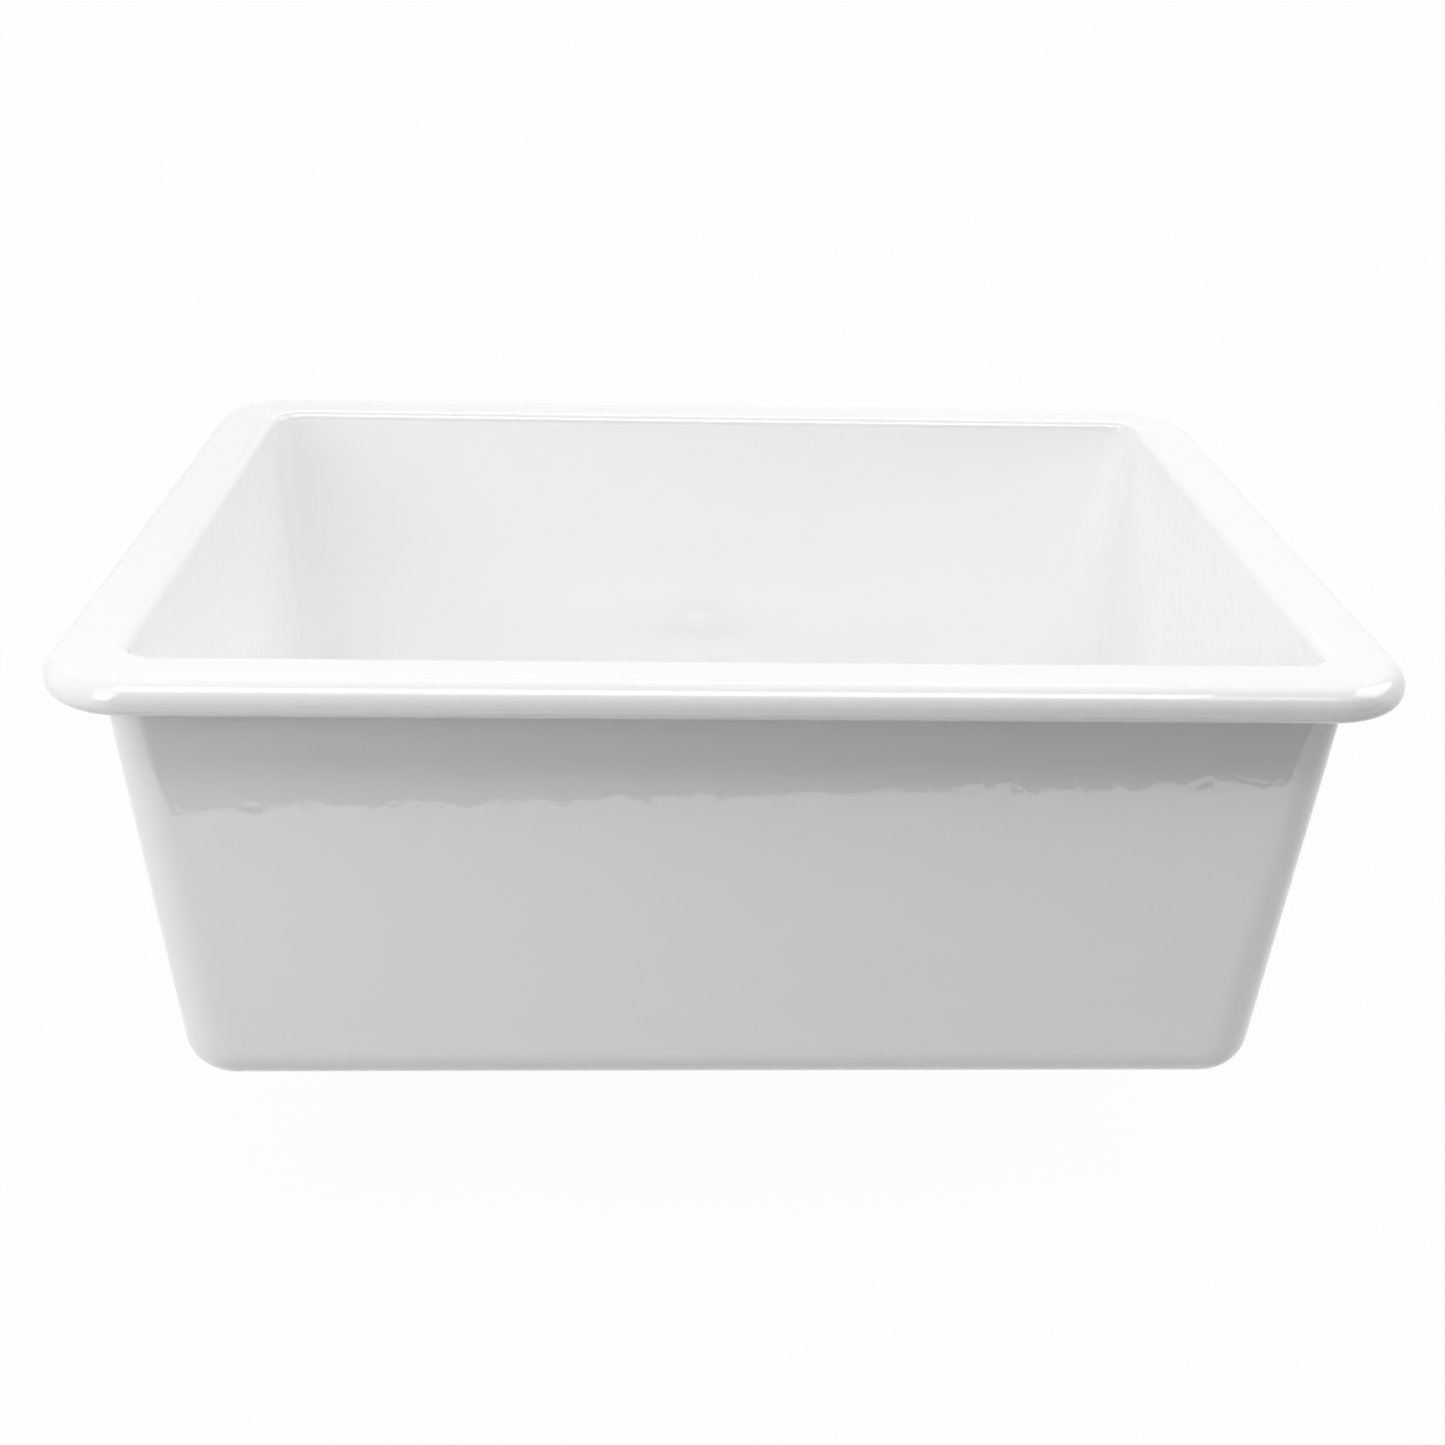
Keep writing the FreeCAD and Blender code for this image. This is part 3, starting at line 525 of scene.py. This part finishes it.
hole, slot_wide, slot_high, round_power, slot_power = 2.2, 1.5, 5.5, 1.0, 0.45
inner_holes, outer_holes, slots = (7.2, 13.7), (15.6, 22.0), (28.0, 43.0)
start, end = half_sheet, lip_end - half_sheet
cup = surface("basket_cup_pressed", (
    rolled_edge(start, way=-1)
    + plain_band(start, inner_holes[0], rows=6)
    + punched_band(*inner_holes, count=10, half_wide=hole, half_high=hole, power=round_power)
    + plain_band(inner_holes[1], outer_holes[0], rows=3)
    + punched_band(*outer_holes, count=16, half_wide=hole, half_high=hole, power=round_power)
    + plain_band(outer_holes[1], slots[0], rows=12)
    + punched_band(*slots, count=16, half_wide=slot_wide, half_high=slot_high, power=slot_power)
    + plain_band(slots[1], end, rows=14)
    + rolled_edge(end, way=1)), brushed)
fit(cup, "basket", "basket_cup")


# Guide bush and spring ring: a moulded bush clipped through the basket's floor, in which the spindle slides.
# A wire ring in its groove grips the spindle, so the stopper stays where it is put.
acetal = grainy("moulded_acetal", dark=(0.74, 0.74, 0.70, 1), light=(0.80, 0.80, 0.77, 1), roughness=0.38,
                fineness=700.0, depth=0.00002)
bush_bore, barrel, clip, waist, collar, groove = 4.08, 7.7, 8.0, 6.5, 9.5, 5.38
clip_foot, clip_top, floor_top, collar_top, bush_top = -249.1, -247.9, -246.9, -245.4, -238.4
groove_foot, groove_top = -242.5, -241.2
bush = turned("basket_bush_moulded", [
    (bush_bore, clip_foot, 0.3, 8),
    (clip, clip_foot, 0.5, 8),
    (clip, clip_top, 0.3, 8),
    (waist, clip_top, 0.1, 8),
    (waist, floor_top, 0.1, 8),
    (collar, floor_top, 0.3, 8),
    (collar, collar_top, 0.6, 8),
    (barrel, collar_top, 0.8, 8),
    (barrel, bush_top, 0.8, 8),
    (bush_bore, bush_top, 0.5, 8),
    (bush_bore, groove_top, 0.1, 8),
    (groove, groove_top, 0.1, 8),
    (groove, groove_foot, 0.1, 8),
    (bush_bore, groove_foot, 0.1, 8),
], acetal, columns=96)
fit(bush, "basket", "basket_bush")
spring = flat_ring("detent_ring_wire", bore=bush_bore, reach=5.28, low=groove_foot, high=-241.3,
                   inner_edge=0.599, outer_edge=0.599, material=brushed, columns=72, steps=2)
fit(spring, "basket", "detent_ring")


# Spindle and knob: a stainless rod with a collar, threaded at both ends, with a polished knob screwed on it.
# The knob's head is dished on top and rounded at its edge for the fingers.
thread_radius, rod_radius, rod_collar = 3.0, 4.0, 7.0
rod_foot, collar_foot, collar_top, shank_foot, rod_top = -271.4, -259.2, -257.7, -237.4, -228.4
spindle = turned("stopper_spindle_rod", [
    (0, rod_foot, 0, 4),
    (thread_radius, rod_foot, 0.5, 60),
    (thread_radius, collar_foot, 0.1, 5),
    (rod_collar, collar_foot, 0.3, 2),
    (rod_collar, collar_top, 0.3, 5),
    (rod_radius, collar_top, 0.3, 20),
    (rod_radius, shank_foot, 0.2, 2),
    (thread_radius, shank_foot, 0.1, 10),
    (thread_radius, rod_top, 0.3, 4),
    (0, rod_top, 0, 2),
], brushed, columns=72, threads=[(thread_radius, -271.2, -260.0, 1.0, 0.45)])
fit(spindle, "stopper", "stopper_spindle")
polished = metal("polished_steel", dark=(0.66, 0.66, 0.66, 1), light=(0.73, 0.73, 0.73, 1), smooth=0.06,
                 rough=0.20, fineness=1800.0, depth=0.000006)
knob_bore, shank, head, head_foot, head_top, bore_end = 3.15, 6.5, 13.0, -226.4, -217.4, -227.4
knob = turned("lift_knob_turned", [
    (knob_bore, shank_foot, 0.3, 5),
    (shank, shank_foot, 0.8, 14),
    (shank, head_foot, 2.2, 6),
    (head, head_foot, 3.4, 4),
    (head, head_top, 3.4, 4),
    (8.6, head_top, 1.5, 3),  # brim of the dish
    (6.8, -218.3, 3.0, 8),
    (0, -218.5, 0, 2),
    (0, bore_end, 0, 4),
    (knob_bore, bore_end, 0.1, 10),
], polished, columns=144)
fit(knob, "stopper", "lift_knob")


# Stopper: a moulded rubber disc between a steel plate and a washer, clamped by a nut on the spindle's end.
# It covers the outlet when the spindle is down, and its grooved edge seals on the cup's floor.
rod_hole, plate_radius, disc_radius = 3.15, 24.05, 25.05
disc_foot, disc_top, plate_top = -264.4, -260.4, -259.2
plate = turned("stopper_plate_pressed", [
    (rod_hole, disc_top, 0.2, 14),
    (plate_radius, disc_top, 0.4, 2),
    (plate_radius, plate_top, 0.6, 14),
    (rod_hole, plate_top, 0.2, 2),
], brushed)
fit(plate, "stopper", "stopper_plate")
disc = turned("stopper_disc_moulded", [
    (rod_hole, disc_foot, 0.2, 14),
    (disc_radius, disc_foot, 0.7, 2),
    (disc_radius, -262.9, 0.25, 3),
    (24.2, -262.4, 0.25, 3),  # groove
    (disc_radius, -261.9, 0.25, 2),
    (disc_radius, disc_top, 0.5, 14),
    (rod_hole, disc_top, 0.2, 4),
], black_rubber)
fit(disc, "stopper", "stopper_disc")
small_washer = flat_ring("stopper_washer_ring", bore=rod_hole, reach=8.65, low=-265.4, high=disc_foot,
                         inner_edge=0.15, outer_edge=0.3, material=brushed, columns=72)
fit(small_washer, "stopper", "stopper_washer")
small_nut = hexagon_nut("stopper_nut_hexagon", half_flats=5.846, half_corners=6.68, low=-269.9, high=-265.4,
                        shoulder=5.7, slope=0.5, bore=[(rod_hole, -265.4), (rod_hole, -269.9)], edge=0.15,
                        material=brushed)
fit(small_nut, "stopper", "stopper_nut")


# Floor and backdrop: a white sheet that runs under the sink and curves up behind it.
# It ends in front of the sink, and the glaze of the front wall mirrors its edge and the dark room past it.
def background_rays(tree):
    """1 for rays that show the white background: the camera's own, mirrored ones and those through glass."""
    path = add_node(tree, "ShaderNodeLightPath").outputs
    seen = reckon(tree, "MAXIMUM", path["Is Camera Ray"], path["Is Glossy Ray"])
    return reckon(tree, "MAXIMUM", seen, path["Is Transmission Ray"])


sheet_grey, sheet_glow = (0.62, 0.62, 0.62, 1), 0.97
sweep, tree, shader = new_material("white_sweep")
tree.nodes.remove(shader)
matt = add_node(tree, "ShaderNodeBsdfDiffuse", {"Color": sheet_grey})
glow = add_node(tree, "ShaderNodeEmission", {"Color": (1, 1, 1, 1), "Strength": 1.0})
whiteness = reckon(tree, "MULTIPLY", background_rays(tree), sheet_glow)
lit = add_node(tree, "ShaderNodeMixShader", {0: whiteness, 1: matt.outputs[0], 2: glow.outputs[0]})
clear = add_node(tree, "ShaderNodeBsdfTransparent")
behind = add_node(tree, "ShaderNodeNewGeometry").outputs["Backfacing"]
both = add_node(tree, "ShaderNodeMixShader", {0: behind, 1: lit.outputs[0], 2: clear.outputs[0]})
tree.links.new(both.outputs[0], tree.nodes["Material Output"].inputs["Surface"])

# The sheet's line from front to back: level, then a quarter round of the bend's radius, then upright.
floor_level, front_edge, front_slant, half_width = -0.3695, -0.791, 0.061, 4.0
back_edge, bend, top = 1.9, 0.9, 3.4
turn = np.linspace(0, np.pi / 2, 17)
line_y = np.concatenate([[front_edge], back_edge - bend + bend * np.sin(turn), [back_edge]])
line_z = np.concatenate([[floor_level], floor_level + bend - bend * np.cos(turn), [top]])
across = np.linspace(-half_width, half_width, 9)[:, None]
sheet = np.stack([across + 0 * line_y, line_y + 0 * across, line_z + 0 * across], axis=-1)
sheet[:, 0, 1] -= front_slant * sheet[:, 0, 0]
mesh = bpy.data.meshes.new("floor_sweep")
mesh.from_pydata(sheet.reshape(-1, 3), [], grid_cells(sheet).tolist())
mesh.shade_smooth()
mesh.materials.append(sweep)
floor = put_in_scene("floor_sweep", mesh)


# Light: soft boxes high behind the sink, on its right and over its front, a strip along its front and a
# small box near its left front corner. White walls on the left, on the right and behind shine on it as well.
# The room in front of it is dark, as in a studio with its lamps pointing away from the camera.
def look_matrix(back):
    """Turn whose third axis is the way back from what is looked at, with the first axis level."""
    steep = 0.99
    level = np.cross([0, 1, 0] if abs(back[2]) > steep else [0, 0, 1], back)
    level = level / np.linalg.norm(level)
    return Matrix(np.column_stack([level, np.cross(back, level), back]).tolist()).to_4x4()


def soft_box(name, spot, aim, width, depth, power):
    """Rectangular lamp at a spot, turned to face its aim. Its sizes are in metres, its power in watts."""
    lamp = bpy.data.lights.new(name, "AREA")
    lamp.shape, lamp.size, lamp.size_y, lamp.energy = "RECTANGLE", width, depth, power
    holder = put_in_scene(name, lamp)
    back = (np.array(spot) - aim) / np.linalg.norm(np.array(spot) - aim)
    holder.matrix_world = Matrix.Translation(spot) @ look_matrix(back)
    holder.visible_camera = False


soft_box("back_box", (0.0, 1.55, 1.25), aim=(0.0, -0.2, -0.1), width=1.6, depth=0.4, power=15.0)
soft_box("right_box", (1.7, 0.1, 1.3), aim=(0.0, 0.1, -0.1), width=1.6, depth=1.0, power=11.0)
soft_box("top_box", (-0.1, -1.0, 2.0), aim=(0.0, 0.1, -0.1), width=2.0, depth=0.8, power=16.6)
soft_box("front_strip", (-0.3, -1.02, 1.30), aim=(-0.3, -0.23, -0.04), width=2.4, depth=0.34, power=4.4)
soft_box("corner_box", (-0.75, -0.85, 0.3), aim=(-0.2, -0.23, -0.1), width=0.3, depth=0.5, power=1.95)

# The room's light comes from its walls and fades out towards the ceiling. It is left out of the dark front,
# and the camera sees plain white. Upward is the height of the way that a ray goes, from -1 to 1.
wall_strength, dark_way = 1.08, (0.34, -0.94, 0.0)
world = bpy.data.worlds.new("room")
bpy.context.scene.world = world
world.use_nodes = True
tree = world.node_tree
room = tree.nodes["Background"]
way = add_node(tree, "ShaderNodeTexCoord").outputs["Generated"]
upward = add_node(tree, "ShaderNodeSeparateXYZ", {0: way}).outputs["Z"]
pale_walls = ramp(tree, upward, start=0.85, end=0.5, high=wall_strength, kind="SMOOTHSTEP")
facing = add_node(tree, "ShaderNodeVectorMath", {0: way, 1: dark_way}, operation="DOT_PRODUCT")
forward = ramp(tree, facing.outputs["Value"], start=0.25, end=0.7, kind="SMOOTHSTEP")
low = ramp(tree, upward, start=0.8, end=0.5, kind="SMOOTHSTEP")
dark_front = reckon(tree, "MULTIPLY", forward, low)
open_sides = reckon(tree, "SUBTRACT", 1.0, dark_front)
strength = reckon(tree, "MULTIPLY", pale_walls, open_sides)
tree.links.new(strength, room.inputs["Strength"])
room.inputs["Color"].default_value = (1, 1, 1, 1)
white = add_node(tree, "ShaderNodeBackground", {"Color": (1, 1, 1, 1), "Strength": 1.0})
mirrored = reckon(tree, "MULTIPLY", background_rays(tree), open_sides)
camera_ray = add_node(tree, "ShaderNodeLightPath").outputs["Is Camera Ray"]
seen = reckon(tree, "MAXIMUM", camera_ray, mirrored)
mixed = add_node(tree, "ShaderNodeMixShader", {0: seen, 1: room.outputs[0], 2: white.outputs[0]})
tree.links.new(mixed.outputs[0], tree.nodes["World Output"].inputs["Surface"])
# Light goes to and fro between the bowl's white walls many times before it fades.
bpy.context.scene.cycles.diffuse_bounces = 12


# Camera: about a metre in front of the middle of the sink and above its rim, looking down into the bowl.
# It is turned a touch to the right and tilted by a degree and a half. Angles are in radians.
camera = bpy.data.cameras.new("camera")
camera.sensor_width = 36.0
camera.lens = 46.064
spot = (-0.046057, -1.063003, 0.384865)
yaw, pitch, roll = 0.047869, 0.442540, 0.026715
back = np.array([-np.sin(yaw) * np.cos(pitch), -np.cos(yaw) * np.cos(pitch), np.sin(pitch)])
holder = put_in_scene("camera", camera)
holder.matrix_world = Matrix.Translation(spot) @ look_matrix(back) @ Matrix.Rotation(roll, 4, "Z")
bpy.context.scene.camera = holder
bpy.context.scene.view_settings.view_transform = "Standard"
